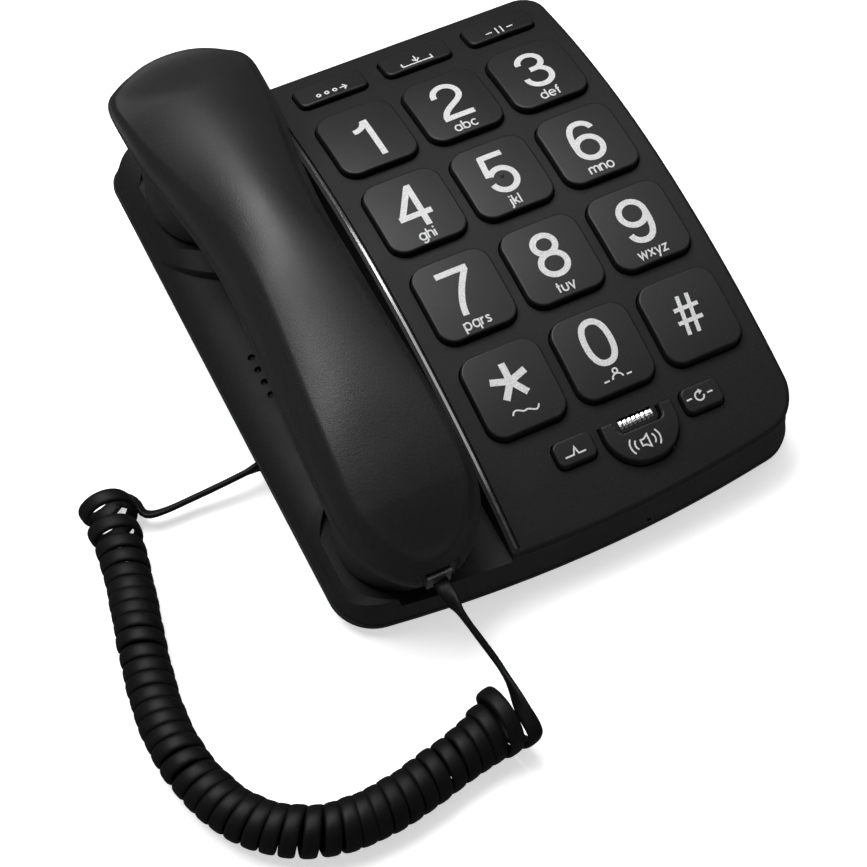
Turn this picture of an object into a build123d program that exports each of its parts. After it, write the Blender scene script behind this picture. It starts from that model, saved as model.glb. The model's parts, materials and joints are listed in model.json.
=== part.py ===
from build123d import *
import math
import os

# A corded desk telephone with large keys: an arched base that leans towards the user, a handset that
# lies in a cradle along the left side, and a curly cord between the two.
# Millimetres. The base is drawn in its own deck frame (X right, Y to the rear, Z out of the deck, with
# Y = 0 at the rear edge of the deck and Z = 0 at the lower edge of its side walls), and place() leans it
# back onto the desk. The cord is drawn directly in the frame of the desk.

# ---------------------------------------------------------------- driving dimensions: the whole
DECK_TILT = 8.6          # the rear of the base stands higher than the front
FRONT_EDGE_LIFT = 30.0   # desk to the deck frame's origin
REAR_SHIFT = 89.86       # deck frame's origin to the middle of the object, front to rear
WALL = 2.4               # thickness of the moulded shells
RUN_GAP = 0.5            # gap round a piece that moves

# ---------------------------------------------------------------- driving dimensions: base
SKIRT_WIDTH = 154.0
DECK_WIDTH = 149.2
DECK_EDGES = (1.2, -178.6)        # rear and front of the deck, in y
SKIRT_EDGES = (4.0, -179.6)       # the same at the foot of the flared skirt
DECK_ROUNDING = 1.7
PARTING_Z = 2.0          # top shell above, bottom shell below
SHOULDER_Z = 16.0        # height where the flared skirt becomes upright
CREST_Y = -81.4          # highest line of the arched deck
CREST_Z = 33.2
REAR_RADIUS = 243.0      # arch behind the crest
FRONT_RADIUS = 318.0     # arch in front of the crest
CREST_S = 83.0           # distance along the arch from the rear edge to the crest
FRONT_BOW = 6.5          # how far the front edge bows out

CRADLE_X = -52.0         # middle of the handset
CRADLE_EDGE_X = -26.5    # inner wall of the cradle
BED_KNEE_X = -58.0       # where the cradle's surface starts to roll over the left edge
BED_EDGE_X = -77.5
EAR_BED_Z = 18.0
MID_BED_Z = 13.5
MOUTH_BED_Z = 15.5
EAR_CUP = (-25.0, 23.5, 13.0)     # y of the centre, radius, height of the floor
MOUTH_CUP = (-154.0, 22.5, 10.5)

STAND_FRONT_Y = -166.0
STAND_REAR_Y = -8.0
STAND_HALF_WIDTH = 62.0
FOOT_HEIGHT = 2.0
FOOT_RADIUS = 7.0
LINE_JACK_X = 30.0
LINE_JACK_Z = -12.0
RINGER_X = -20.0
RINGER_Z = -12.0
VOLUME_Y = -60.0
VOLUME_Z = -7.0
SCREW_PLACES = [(-10.0, -18.8), (60.0, -18.8), (-10.0, -159.0), (61.0, -159.0)]
SCREW_SEAT_Z = -1.0

# ---------------------------------------------------------------- driving dimensions: keys
KEY_PITCH_X = 30.0
KEY_PITCH_S = 32.8       # along the arch
KEY_WIDTH = 25.9
KEY_DEPTH = 27.0
MIDDLE_COLUMN_X = 25.1
FIRST_ROW_S = 37.2       # middle of the first row of number keys
SLIM_ROW_S = 10.8        # middle of the three slim keys behind them
SMALL_KEY_S = 159.6      # middle of the two small keys in front
SPEAKER_S = 163.9        # middle of the speakerphone key
LAMP_S = 157.4           # middle of the lamp's window
KEY_PROUD = 2.9
LOW_KEY_PROUD = 2.2      # the slim and the small keys
KEY_TRAVEL = 1.8
KEY_ROUNDING = 0.7
KEY_CORNER = 5.4

BOARD_Z = 8.0
BOARD_THICKNESS = 1.6
MEMBRANE_THICKNESS = 1.2
DOME_HEIGHT = 1.3
KEY_FOOT_Z = BOARD_Z + BOARD_THICKNESS + MEMBRANE_THICKNESS + DOME_HEIGHT + KEY_TRAVEL + 0.3
HOOK_Y = -25.0
SPEAKER_Y = -90.0
SPEAKER_TOP_Z = 9.3
MICROPHONE_X = 20.0

# ---------------------------------------------------------------- driving dimensions: handset
REAR_END_Y = 6.2
NOSE_END_Y = -180.0
EAR_BOSS = (-25.0, 21.5, 19.8, 13.3)     # y, radius at the top, radius at the face, height of the face
MOUTH_BOSS = (-154.0, 20.5, 18.8, 10.8)
HANDSET_SIDE = [(23.7, -3.0), (23.3, -26.0), (20.6, -47.0), (18.8, -68.0), (19.4, -96.0),
                (21.3, -126.0), (22.0, -152.0)]
HANDSET_TOP = [(7.5, 47.5), (-12.0, 55.0), (-42.0, 62.0), (-76.0, 65.3), (-110.0, 62.8),
               (-140.0, 57.5), (-162.0, 49.5), (-174.0, 41.5), (-181.5, 31.0)]
HANDSET_SPLIT = [(7.5, 45.2), (-40.0, 46.0), (-80.0, 48.0), (-120.0, 43.5), (-155.0, 39.0),
                 (-172.0, 34.5), (-181.5, 28.5)]
HANDSET_BELLY = [(7.5, 40.5), (-40.0, 38.0), (-80.0, 38.5), (-120.0, 33.5), (-155.0, 24.5),
                 (-172.0, 21.0), (-181.5, 20.0)]

# ---------------------------------------------------------------- driving dimensions: cord
CORD_WIDTH = 4.8
COIL_DIAMETER = 16.8
BASE_JACK_Y = -108.6
BASE_JACK_Z = -4.4
HANDSET_JACK_Z = 28.2
PLUG_WIDTH = 7.6
PLUG_HEIGHT = 6.4

PARTS = {}


def place(shape):
    """Leans a shape from the deck frame back onto the desk."""
    return Pos(0, REAR_SHIFT, FRONT_EDGE_LIFT) * Rot(DECK_TILT, 0, 0) * shape


def keep(name, shape, on_deck=True):
    PARTS[name] = place(shape) if on_deck else shape


def arch_point(y, drop=0.0):
    """Height of the arched deck, or of a surface that lies a drop below it."""
    radius = (REAR_RADIUS if y > CREST_Y else FRONT_RADIUS) - drop
    centre_z = CREST_Z - drop - radius
    return centre_z + math.sqrt(radius ** 2 - (y - CREST_Y) ** 2)


def arch_at(s):
    """y, z and slope in degrees at a distance s along the arch from its rear edge."""
    radius = REAR_RADIUS if s < CREST_S else FRONT_RADIUS
    angle = (s - CREST_S) / radius
    y = CREST_Y - radius * math.sin(angle)
    z = CREST_Z - radius * (1 - math.cos(angle))
    return y, z, math.degrees(angle)


def rounded_block(width, depth, z_low, z_high, radius, x=0.0, y=0.0):
    block = Pos(x, y, z_low) * extrude(RectangleRounded(width, depth, radius), z_high - z_low)
    return block


def box_between(low, high):
    size = [b - a for a, b in zip(low, high)]
    middle = [(a + b) / 2 for a, b in zip(low, high)]
    return Pos(*middle) * Box(*size)


# ---------------------------------------------------------------- base shells
def base_outline(width, rear, front, inset=0.0):
    """Plan of the base: straight sides and rear, a bowed front and four round corners."""
    half = width / 2 - inset
    back = rear - inset
    tip = front + inset
    side = tip + FRONT_BOW
    edges = Curve() + [
        Line((-half, back), (half, back)),
        Line((half, back), (half, side)),
        ThreePointArc((half, side), (0, tip), (-half, side)),
        Line((-half, side), (-half, back)),
    ]
    face = make_face(edges)
    by_depth = face.vertices().sort_by(Axis.Y)
    face = fillet(by_depth[2:], max(8.0 - inset, 2.0))
    by_depth = face.vertices().sort_by(Axis.Y)
    return fillet(by_depth[:2], max(14.0 - inset, 2.0))


def under_arch(drop, low=-1.0):
    """Everything below the arched deck, as one long prism along X."""
    rear, front = 12.0, -192.0
    middle_rear = (CREST_Y + rear) / 2
    middle_front = (CREST_Y + front) / 2
    edges = Curve() + [
        ThreePointArc((rear, arch_point(rear, drop)), (middle_rear, arch_point(middle_rear, drop)),
                      (CREST_Y, arch_point(CREST_Y, drop))),
        ThreePointArc((CREST_Y, arch_point(CREST_Y, drop)), (middle_front, arch_point(middle_front, drop)),
                      (front, arch_point(front, drop))),
        Line((front, arch_point(front, drop)), (front, low)),
        Line((front, low), (rear, low)),
        Line((rear, low), (rear, arch_point(rear, drop))),
    ]
    profile = Plane.YZ * make_face(edges)
    return extrude(profile, 100, both=True)


def base_block(inset=0.0, drop=0.0, z_low=0.0):
    """The base before the cradle is cut: a flared skirt, upright walls and the arched deck."""
    skirt = loft([
        Pos(0, 0, 0) * base_outline(SKIRT_WIDTH, *SKIRT_EDGES, inset),
        Pos(0, 0, SHOULDER_Z) * base_outline(DECK_WIDTH, *DECK_EDGES, inset),
    ])
    upright = Pos(0, 0, SHOULDER_Z) * extrude(base_outline(DECK_WIDTH, *DECK_EDGES, inset), 40)
    block = (skirt + upright) & under_arch(drop)
    return block & box_between((-100, -200, z_low), (100, 20, 60))


def bed_prism(bed_z, y_low, y_high, grow=0.0):
    """Space above a stretch of the cradle: level, then rolling down over the left edge."""
    inner = CRADLE_EDGE_X + grow
    knee_z = bed_z - grow
    edges = Curve() + [
        Line((inner, 80), (inner, knee_z)),
        Line((inner, knee_z), (BED_KNEE_X, knee_z)),
        EllipticalCenterArc((BED_KNEE_X, PARTING_Z), BED_KNEE_X - BED_EDGE_X - grow, knee_z - PARTING_Z,
                            start_angle=90, arc_size=90),
        Line((BED_EDGE_X + grow, PARTING_Z), (BED_EDGE_X - 12, PARTING_Z)),
        Line((BED_EDGE_X - 12, PARTING_Z), (BED_EDGE_X - 12, 80)),
        Line((BED_EDGE_X - 12, 80), (inner, 80)),
    ]
    profile = Plane.XZ * make_face(edges)
    return Pos(0, y_high, 0) * extrude(profile, y_high - y_low)


def cradle_space(grow=0.0):
    """What the cradle takes out of the base: two end beds, a lower middle one and a cup at each end."""
    ends = bed_prism(EAR_BED_Z, -100, 20, grow) + bed_prism(MOUTH_BED_Z, -200, -90, grow)
    middle = bed_prism(MID_BED_Z, -160, -18, grow)
    ear_step = Pos(CRADLE_X, -22, -5) * extrude(Ellipse(26.5 - grow, 36 - grow), 100)
    mouth_step = Pos(CRADLE_X, -154, -5) * extrude(Ellipse(26.5 - grow, 23 - grow), 100)
    middle = middle - ear_step - mouth_step
    space = ends + middle
    for y, radius, floor in (EAR_CUP, MOUTH_CUP):
        space += Pos(CRADLE_X, y, floor - grow) * extrude(Circle(radius + grow), 50)
    return space


def speaker_holes():
    """Six-sided grid of sound holes in the bed under the handset."""
    pitch, radius = 4.65, 1.1
    holes = []
    for column in range(-3, 4):
        count = 7 - abs(column)
        for index in range(count):
            x = CRADLE_X + column * pitch
            y = SPEAKER_Y + (index - (count - 1) / 2) * pitch
            holes.append(Pos(x, y, 2) * extrude(Circle(radius), 20))
    return holes


def key_list():
    """Name, x, distance along the arch, width and depth of each key."""
    keys = []
    rows = [["1", "2", "3"], ["4", "5", "6"], ["7", "8", "9"], ["star", "0", "hash"]]
    for row, names in enumerate(rows):
        for column, name in enumerate(names):
            x = MIDDLE_COLUMN_X + (column - 1) * KEY_PITCH_X
            keys.append((f"key_{name}", x, FIRST_ROW_S + row * KEY_PITCH_S, KEY_WIDTH, KEY_DEPTH, KEY_CORNER))
    for column, name in enumerate(["auto", "store", "hold"]):
        x = MIDDLE_COLUMN_X + (column - 1) * KEY_PITCH_X
        keys.append((f"key_{name}", x, SLIM_ROW_S, 23.4, 9.6, 2.4))
    keys.append(("key_flash", MIDDLE_COLUMN_X - 21.6, SMALL_KEY_S, 12.8, 8.0, 2.2))
    keys.append(("key_redial", MIDDLE_COLUMN_X + 21.6, SMALL_KEY_S, 12.8, 8.0, 2.2))
    return keys


def speaker_key_sketch(grow=0.0):
    """Plan of the speakerphone key: a shield with a notch in its rear edge for the lamp."""
    half, rear, front = 12.0 + grow, 7.0 + grow, 7.4 + grow
    shield = make_face(Curve() + [
        Line((-half, rear), (half, rear)),
        Line((half, rear), (half, rear - 5)),
        ThreePointArc((half, rear - 5), (half * 0.62, -front * 0.72), (0, -front)),
        ThreePointArc((0, -front), (-half * 0.62, -front * 0.72), (-half, rear - 5)),
        Line((-half, rear - 5), (-half, rear)),
    ])
    notch = Pos(0, rear, 0) * RectangleRounded(15.4 - 2 * grow, 8.6 - 2 * grow, 2.0 - grow)
    return shield - notch


def lamp_place():
    y, z, slope = arch_at(LAMP_S)
    return MIDDLE_COLUMN_X, y, z, slope


def base_top_shell():
    outer = base_block()
    top_edges = [e for e in outer.edges() if e.center().Z > SHOULDER_Z + 0.5 and e.length > 5]
    outer = fillet(top_edges, DECK_ROUNDING)
    shell = outer - cradle_space()
    inside = base_block(inset=WALL, drop=WALL + 0.1, z_low=-1) - cradle_space(WALL)
    shell -= inside
    shell = shell & box_between((-100, -200, PARTING_Z), (100, 20, 60))
    shell -= speaker_holes()
    for name, x, s, width, depth, corner in key_list():
        y, z, slope = arch_at(s)
        hole = RectangleRounded(width + 2 * RUN_GAP, depth * math.cos(math.radians(slope)) + 2 * RUN_GAP,
                                corner + RUN_GAP)
        shell -= Pos(x, y, 10) * extrude(hole, 40)
    y, z, slope = arch_at(SPEAKER_S)
    shell -= Pos(MIDDLE_COLUMN_X, y, 10) * extrude(speaker_key_sketch(RUN_GAP), 40)
    x, y, z, slope = lamp_place()
    shell -= Pos(x, y, 10) * extrude(Rectangle(11.4, 3.4), 40)
    shell -= strip_groove()
    shell -= Pos(CRADLE_X, HOOK_Y, 5) * extrude(Rectangle(9, 5), 20)
    shell -= Pos(MICROPHONE_X, -170, 5) * Rot(90, 0, 0) * extrude(Circle(0.8), 20)
    seat = Pos(CRADLE_X, SPEAKER_Y, SPEAKER_TOP_Z) * extrude(Circle(16) - Circle(13.6), 2)
    shell += seat
    for x, y in SCREW_PLACES:
        low = BOARD_Z + BOARD_THICKNESS + 0.2
        post = Pos(x, y, low) * extrude(Circle(2.4) - Circle(1.45), arch_point(y) - WALL / 2 - low)
        shell += post
    return shell


def strip_solid(x_low, x_high, drop_high, drop_low):
    """A narrow band that follows the arch between two depths."""
    band = under_arch(drop_high) - under_arch(drop_low)
    return band & box_between((x_low, -176.0, 5), (x_high, -2.0, 60))


def strip_groove():
    return strip_solid(-25.4, -23.7, -3.0, 1.2)


def stand_block(inset, lift):
    """Wedge under the base whose foot is parallel to the desk."""
    width = 2 * (STAND_HALF_WIDTH - inset)
    depth = STAND_REAR_Y - STAND_FRONT_Y - 2 * inset
    middle = (STAND_REAR_Y + STAND_FRONT_Y) / 2
    block = rounded_block(width, depth, -45, PARTING_Z, 12 - inset, 0, middle)
    return block - below_desk(lift)


def below_desk(lift):
    """Everything under a plane that lies a lift above the desk."""
    return Rot(-DECK_TILT, 0, 0) * Pos(0, 0, -FRONT_EDGE_LIFT + lift - 50) * Box(400, 600, 100)


def base_bottom_shell():
    shell = extrude(base_outline(SKIRT_WIDTH, *SKIRT_EDGES), PARTING_Z)
    shell += stand_block(0, FOOT_HEIGHT)
    shell -= stand_block(WALL, FOOT_HEIGHT + WALL)
    for x, y in SCREW_PLACES:
        pillar = Pos(x, y, -45) * extrude(Circle(4), 45 + BOARD_Z) - below_desk(FOOT_HEIGHT)
        shell += pillar
        shell -= Pos(x, y, -60) * extrude(Circle(1.7), 80)
        shell -= Pos(x, y, -60) * extrude(Circle(3.1), 60 + SCREW_SEAT_Z)
    # mouth of the curly cord's socket in the left wall, and of the line's socket in the rear wall
    shell -= box_between((-70, BASE_JACK_Y - 5.5, BASE_JACK_Z - 4.2), (-58, BASE_JACK_Y + 5.5, BASE_JACK_Z + 4.2))
    shell -= box_between((LINE_JACK_X - 5.5, -12, LINE_JACK_Z - 4.4), (LINE_JACK_X + 5.5, 10, LINE_JACK_Z + 4.4))
    shell -= box_between((RINGER_X - 5.5, -14, RINGER_Z - 2.5), (RINGER_X + 5.5, 2, RINGER_Z + 2.5))
    shell -= box_between((56, VOLUME_Y - 5.5, VOLUME_Z - 2.5), (70, VOLUME_Y + 5.5, VOLUME_Z + 2.5))
    return shell


def switch_knob(x, y, z, turn):
    """Knob that fills half of its slot, with three grip ribs, drawn for the rear wall and turned."""
    knob = box_between((-5.2, -4.5, -2.2), (0.2, 1.4, 2.2))
    for offset in (-4.1, -2.5, -0.9):
        knob += Pos(offset, 1.4, 0) * Box(0.7, 0.9, 4.4)
    return Pos(x, y, z) * Rot(0, 0, turn) * knob


# ---------------------------------------------------------------- keys
def cap_ball(x, s, proud=KEY_PROUD, radius=190.0):
    """Ball whose top is a key's slightly crowned face."""
    y, z, slope = arch_at(s)
    up = (0.0, -math.sin(math.radians(slope)), math.cos(math.radians(slope)))
    centre = (x, y + up[1] * (proud - radius), z + up[2] * (proud - radius))
    return Pos(*centre) * Sphere(radius)


def make_key(x, s, width, depth, corner):
    """Hollow key: crowned face, thin walls and a flange that stops it from falling out."""
    y, z, slope = arch_at(s)
    depth = depth * math.cos(math.radians(slope))
    body = rounded_block(width, depth, KEY_FOOT_Z, z + 8, corner, x, y)
    body = body & cap_ball(x, s, KEY_PROUD if depth > 12 else LOW_KEY_PROUD)
    top = max(body.faces(), key=lambda f: f.center().Z)
    body = fillet(top.edges(), KEY_ROUNDING)
    body += rounded_block(width + 2.4, depth + 2.4, KEY_FOOT_Z, KEY_FOOT_Z + 1.2, corner + 1.2, x, y)
    wall = 1.6
    lowest_top = z - math.tan(math.radians(abs(slope))) * depth / 2
    hollow = rounded_block(width - 2 * wall, depth - 2 * wall, KEY_FOOT_Z - 1, lowest_top - 1.0,
                           max(corner - wall, 0.6), x, y)
    return body - hollow


def make_speaker_key():
    y, z, slope = arch_at(SPEAKER_S)
    body = Pos(MIDDLE_COLUMN_X, y, KEY_FOOT_Z) * extrude(speaker_key_sketch(), 25)
    body = body & cap_ball(MIDDLE_COLUMN_X, SPEAKER_S)
    top = max(body.faces(), key=lambda f: f.center().Z)
    body = fillet(top.edges(), KEY_ROUNDING)
    for side in (-1, 1):
        body += box_between((MIDDLE_COLUMN_X + side * 12 - 1.2, y + 1, KEY_FOOT_Z),
                            (MIDDLE_COLUMN_X + side * 12 + 1.2, y + 6, KEY_FOOT_Z + 1.2))
    return body


# ---------------------------------------------------------------- inside the base
def main_board():
    plate = rounded_block(90, 160, BOARD_Z, BOARD_Z + BOARD_THICKNESS, 12, 25, -86)
    for x, y in SCREW_PLACES:
        plate -= Pos(x, y, 0) * extrude(Circle(1.7), 20)
    for x, y, width, depth, height in ((0, -60, 18, 12, 2.4), (40, -60, 12, 12, 2.0), (55, -110, 10, 14, 2.2)):
        plate += box_between((x - width / 2, y - depth / 2, BOARD_Z - height),
                             (x + width / 2, y + depth / 2, BOARD_Z + 0.1))
    return plate


def membrane():
    low = BOARD_Z + BOARD_THICKNESS
    sheet = rounded_block(88, 158, low, low + MEMBRANE_THICKNESS, 11, 25, -86)
    for x, y in SCREW_PLACES:
        sheet -= Pos(x, y, 0) * extrude(Circle(3.2), 20)
    for name, x, s, width, depth, corner in key_list():
        radius = 4.5 if depth > 9 else 2.2
        sheet += Pos(x, arch_at(s)[0], low + MEMBRANE_THICKNESS) * frustum(radius, radius * 0.7, DOME_HEIGHT)
    sheet -= Pos(MIDDLE_COLUMN_X, lamp_place()[1], 0) * extrude(Rectangle(12, 5), 20)
    return sheet


def frustum(r_low, r_high, height):
    return Cone(r_low, r_high, height, align=(Align.CENTER, Align.CENTER, Align.MIN))


def lamp_window():
    x, y, z, slope = lamp_place()
    window = Pos(x, y, z - 5) * extrude(Rectangle(11.2, 3.2), 12)
    return window & under_arch(-0.2)


def lamp():
    x, y, z, slope = lamp_place()
    top = z - 8.0
    low = BOARD_Z + BOARD_THICKNESS
    return Pos(x, y, low) * extrude(Circle(1.5), top - low) + Pos(x, y, top) * Sphere(1.5)


def loudspeaker():
    """Round loudspeaker under the middle of the cradle: rim, basket and magnet around an open dish."""
    centre = Pos(CRADLE_X, SPEAKER_Y, SPEAKER_TOP_Z)
    rim = centre * Pos(0, 0, -2) * extrude(Circle(16), 2)
    basket = centre * Pos(0, 0, -7) * frustum(10, 15.4, 5)
    magnet = centre * Pos(0, 0, -11) * extrude(Circle(7.3), 4)
    return rim + basket + magnet - centre * Pos(0, 0, -2.5) * frustum(6, 14.8, 2.51)


def loudspeaker_cone():
    return Pos(CRADLE_X, SPEAKER_Y, SPEAKER_TOP_Z - 2.45) * frustum(5, 12.8, 2.0)


def hook_switch():
    body = box_between((CRADLE_X - 6, HOOK_Y - 5, 0.5), (CRADLE_X + 6, HOOK_Y + 5, EAR_CUP[2] - WALL))
    return body - box_between((CRADLE_X - 4.4, HOOK_Y - 2.4, 2), (CRADLE_X + 4.4, HOOK_Y + 2.4, 12))


def hook_plunger():
    stem = box_between((CRADLE_X - 4.1, HOOK_Y - 2.1, 2.4), (CRADLE_X + 4.1, HOOK_Y + 2.1, 12.9))
    top = [e for e in stem.edges() if e.center().Z > 12.5]
    return fillet(top, 0.8)


def cord_socket():
    """Socket for the curly cord: a box open to the left."""
    low = (-STAND_HALF_WIDTH + WALL + 0.1, BASE_JACK_Y - 6.3, BASE_JACK_Z - 4.0)
    high = (low[0] + 13.0, BASE_JACK_Y + 6.3, BASE_JACK_Z + 4.9)
    mouth = box_between((low[0] - 1, BASE_JACK_Y - 3.9, BASE_JACK_Z - 3.3),
                        (high[0] - 1.2, BASE_JACK_Y + 3.9, BASE_JACK_Z + 3.3))
    return box_between(low, high) - mouth


def line_socket():
    rear = STAND_REAR_Y - WALL - 0.1
    body = box_between((LINE_JACK_X - 7.3, rear - 14, LINE_JACK_Z - 5.8), (LINE_JACK_X + 7.3, rear, LINE_JACK_Z + 5.8))
    return body - box_between((LINE_JACK_X - 5.0, rear - 12.5, LINE_JACK_Z - 3.6),
                              (LINE_JACK_X + 5.0, 5, LINE_JACK_Z + 3.6))


def base_weight():
    lift = -FRONT_EDGE_LIFT + FOOT_HEIGHT + WALL + 0.05
    return Rot(-DECK_TILT, 0, 0) * Pos(25, -66, lift + 2.0) * Box(60, 56, 4)


def rubber_feet():
    """Four pads on the foot of the stand, drawn on the desk."""
    feet = []
    for x in (-48.0, 48.0):
        for y in (-62.0, 62.0):
            pad = Pos(x, y, 0) * extrude(Circle(FOOT_RADIUS), FOOT_HEIGHT)
            feet.append(chamfer(pad.edges().sort_by(Axis.Z)[0], 0.4))
    return Compound(children=feet)


def case_screws():
    screws = []
    for x, y in SCREW_PLACES:
        head = Pos(x, y, SCREW_SEAT_Z - 1.85) * extrude(Circle(2.9), 1.8)
        shank = Pos(x, y, SCREW_SEAT_Z - 0.15) * extrude(Circle(1.4), 19)
        screws.append(head + shank)
    return Compound(children=screws)


def base_microphone():
    return Pos(MICROPHONE_X, -172.2, PARTING_Z + 0.6) * extrude(Circle(2.6), 4.8)


# ---------------------------------------------------------------- handset
def handset_outline(inset=0.0):
    """Plan of the handset: round ear end, waist and a round nose."""
    side = [(x - inset, y) for x, y in HANDSET_SIDE]
    side[0] = (side[0][0], side[0][1] - inset * 0.4)
    mirror = [(-x, y) for x, y in side]
    nose_y = HANDSET_SIDE[-1][1]
    nose = nose_y - NOSE_END_Y - inset
    edges = Curve() + [
        Spline(*side, tangents=[(-0.02, -1), (0, -1)]),
        EllipticalCenterArc((0, nose_y), side[-1][0], nose, start_angle=180, arc_size=180),
        Spline(*mirror, tangents=[(0.02, -1), (0, -1)]),
        ThreePointArc(mirror[0], (0, REAR_END_Y - inset), side[0]),
    ]
    face = make_face(edges)
    corners = face.vertices().sort_by(Axis.Y)[-2:]
    return fillet(corners, 3.0)


def handset_band(upper, lower, drop=0.0, lift=0.0):
    """Long prism along X between two side curves."""
    high = [(y, z - drop) for y, z in upper]
    low = [(y, z + lift) for y, z in lower]
    edges = Curve() + [
        Spline(*high),
        Line(high[-1], low[-1]),
        Spline(*low),
        Line(low[0], high[0]),
    ]
    return extrude(Plane.YZ * make_face(edges), 60, both=True)


def handset_block(upper, lower, inset=0.0, drop=0.0, lift=0.0):
    plan = Pos(CRADLE_X, 0, 0) * extrude(handset_outline(inset), 90)
    return plan & (Pos(CRADLE_X, 0, 0) * handset_band(upper, lower, drop, lift))


def handset_top_shell():
    outer = handset_block(HANDSET_TOP, HANDSET_SPLIT)
    inner = handset_block(HANDSET_TOP, [(y, z - 3) for y, z in HANDSET_SPLIT], inset=WALL, drop=WALL)
    return outer - inner - nose_pocket()


def nose_pocket():
    """Notch in the nose in which the cord's plug sits, open below in front of the plug."""
    pocket = box_between((CRADLE_X - 6.6, -185, HANDSET_JACK_Z - 4.5), (CRADLE_X + 6.6, -162.6, HANDSET_JACK_Z + 4.5))
    return pocket + box_between((CRADLE_X - 6.6, -185, 10), (CRADLE_X + 6.6, -177.4, HANDSET_JACK_Z + 4.5))


def boss(y, r_top, r_face, face_z, shrink=0.0, top_z=40.0):
    height = top_z - face_z - shrink
    return Pos(CRADLE_X, y, face_z + shrink) * Cone(r_face - shrink, r_top - shrink, height,
                                                  align=(Align.CENTER, Align.CENTER, Align.MIN))


def sound_holes(y, face_z, ring_radius, count):
    holes = [Pos(CRADLE_X, y, face_z - 1) * extrude(Circle(1.1), 5)]
    for index in range(count):
        angle = 2 * math.pi * index / count
        x = CRADLE_X + ring_radius * math.cos(angle)
        holes.append(Pos(x, y + ring_radius * math.sin(angle), face_z - 1) * extrude(Circle(1.1), 5))
    return holes


def handset_bottom_shell():
    split = [(y, z - 0.05) for y, z in HANDSET_SPLIT]
    outer = handset_block(split, HANDSET_BELLY, inset=0.8)
    outer += boss(*EAR_BOSS) + boss(*MOUTH_BOSS, top_z=34.0)
    inner = handset_block([(y, z + 5) for y, z in split], HANDSET_BELLY, inset=0.8 + WALL, lift=WALL)
    inner += boss(*EAR_BOSS, shrink=WALL, top_z=44.0) + boss(*MOUTH_BOSS, shrink=WALL, top_z=38.0)
    shell = outer - inner
    shell -= nose_pocket()
    shell -= sound_holes(EAR_BOSS[0], EAR_BOSS[3], 6.0, 6)
    shell -= sound_holes(MOUTH_BOSS[0], MOUTH_BOSS[3], 4.0, 4)
    return shell


def receiver():
    y, r_top, r_face, face_z = EAR_BOSS
    body = Pos(CRADLE_X, y, face_z + WALL + 0.4) * extrude(Circle(15), 8)
    return body + Pos(CRADLE_X, y, face_z + WALL + 8.4) * extrude(Circle(9), 4)


def handset_microphone():
    y, r_top, r_face, face_z = MOUTH_BOSS
    return Pos(CRADLE_X, y, face_z + WALL + 0.4) * extrude(Circle(5), 6)


def handset_weight():
    return box_between((CRADLE_X - 9, -112, 42.0), (CRADLE_X + 9, -62, 46.0))


def handset_socket():
    low = (CRADLE_X - 6.2, -176.6, HANDSET_JACK_Z - 4.2)
    high = (CRADLE_X + 6.2, -163.0, HANDSET_JACK_Z + 4.2)
    mouth = box_between((CRADLE_X - 3.9, -190, HANDSET_JACK_Z - 3.3), (CRADLE_X + 3.9, -164.4, HANDSET_JACK_Z + 3.3))
    return box_between(low, high) - mouth


# ---------------------------------------------------------------- cord
def cord_plug():
    """Modular plug along +X with its contacts' end at the origin's far side and its latch below."""
    body = box_between((0, -PLUG_WIDTH / 2, -PLUG_HEIGHT / 2), (12.0, PLUG_WIDTH / 2, PLUG_HEIGHT / 2))
    body -= box_between((8.5, -2.8, PLUG_HEIGHT / 2 - 0.8), (13, 2.8, 5))
    tab = box_between((1.0, -1.6, -PLUG_HEIGHT / 2 - 0.01), (3.0, 1.6, -PLUG_HEIGHT / 2 + 1.0))
    return body - tab


def tube(points, diameter, ratio=0.45):
    """Tube along straight runs joined by arcs that are as large as the runs allow."""
    corners = [Vector(*p) for p in points]
    radii = []
    for before, here, after in zip(corners, corners[1:], corners[2:]):
        shorter = min((here - before).length, (after - here).length)
        turn = math.radians((here - before).get_angle(after - here))
        radii.append(ratio * shorter / math.tan(turn / 2))
    path = FilletPolyline(*points, radius=radii)
    start = Plane(origin=path @ 0, z_dir=path % 0)
    solid = sweep(start * Circle(diameter / 2), path=path)
    area = math.pi * diameter ** 2 / 4
    print(f"tube {diameter}: length {path.length:.1f}, volume ratio {solid.volume / (area * path.length):.4f},",
          "radii", [round(r, 1) for r in radii])
    return solid


BASE_TAIL_ROUTE = [(-62.6, -16.9, 9.4), (-74.0, -17.3, 8.9), (-86.0, -17.4, 7.2), (-97.5, -16.7, 5.0),
                   (-107.5, -16.5, 4.6), (-116.0, -14.4, 6.2)]
COIL_ROUTE = [(-119.6, -7.0, 8.4), (-123.9, -24.2, 8.4), (-128.6, -43.4, 8.4), (-133.9, -64.4, 8.4),
              (-138.0, -86.4, 8.4), (-136.0, -107.0, 8.4), (-126.8, -125.2, 8.4), (-110.6, -136.6, 8.4),
              (-91.0, -138.2, 8.4), (-69.6, -133.0, 8.4), (-43.0, -124.4, 8.4)]
HANDSET_TAIL_ROUTE = [(-52.0, -91.4, 31.1), (-51.5, -97.6, 29.8), (-49.9, -104.2, 26.2), (-47.7, -110.8, 21.7),
                      (-45.6, -117.2, 17.7), (-44.2, -123.4, 15.0), (-43.8, -129.2, 12.9)]


def cord():
    keep("cord_base_tail", tube(BASE_TAIL_ROUTE, CORD_WIDTH), on_deck=False)
    keep("cord_coil", tube(COIL_ROUTE, COIL_DIAMETER), on_deck=False)
    keep("cord_handset_tail", tube(HANDSET_TAIL_ROUTE, CORD_WIDTH), on_deck=False)


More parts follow.
